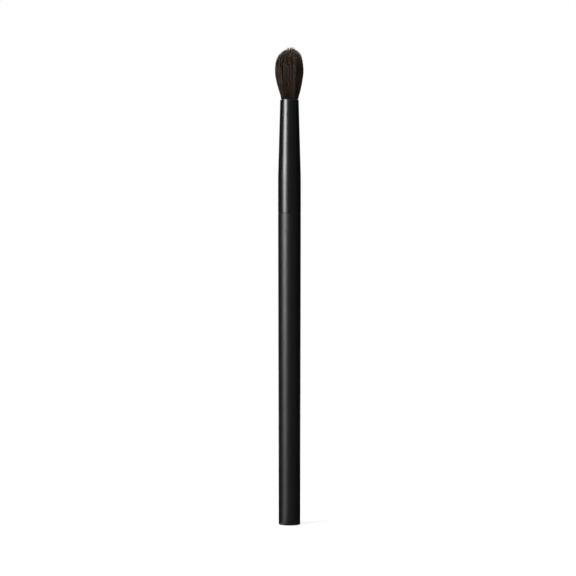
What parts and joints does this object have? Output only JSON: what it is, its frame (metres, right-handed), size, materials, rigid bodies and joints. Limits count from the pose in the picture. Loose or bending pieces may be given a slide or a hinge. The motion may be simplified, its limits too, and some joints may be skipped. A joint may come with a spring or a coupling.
{
  "type": "eyeshadow brush",
  "caption": "Slim round blending brush: tapered wooden handle, tapered metal ferrule and a domed tuft of dark, flexible hair.",
  "frame": {"origin": "centre of the handle's flat butt face", "axes": "+Z along the brush, from the butt to the hair tips; the brush is round, so X and Y are free"},
  "size_m": [0.0097, 0.0098, 0.17],
  "materials": {
    "handle_lacquer": "satin",
    "ferrule_metal": "satin",
    "hair": "satin",
    "thread": "matte",
    "adhesive": "satin",
    "epoxy": "gloss"
  },
  "bodies": {
    "root": {"handle": "handle_lacquer", "handle_adhesive": "adhesive", "ferrule": "ferrule_metal", "root_epoxy_plug": "epoxy", "binding_thread": "thread", "hair_root_bundle": "hair", "hair_tuft": "hair"}
  },
  "joints": []
}
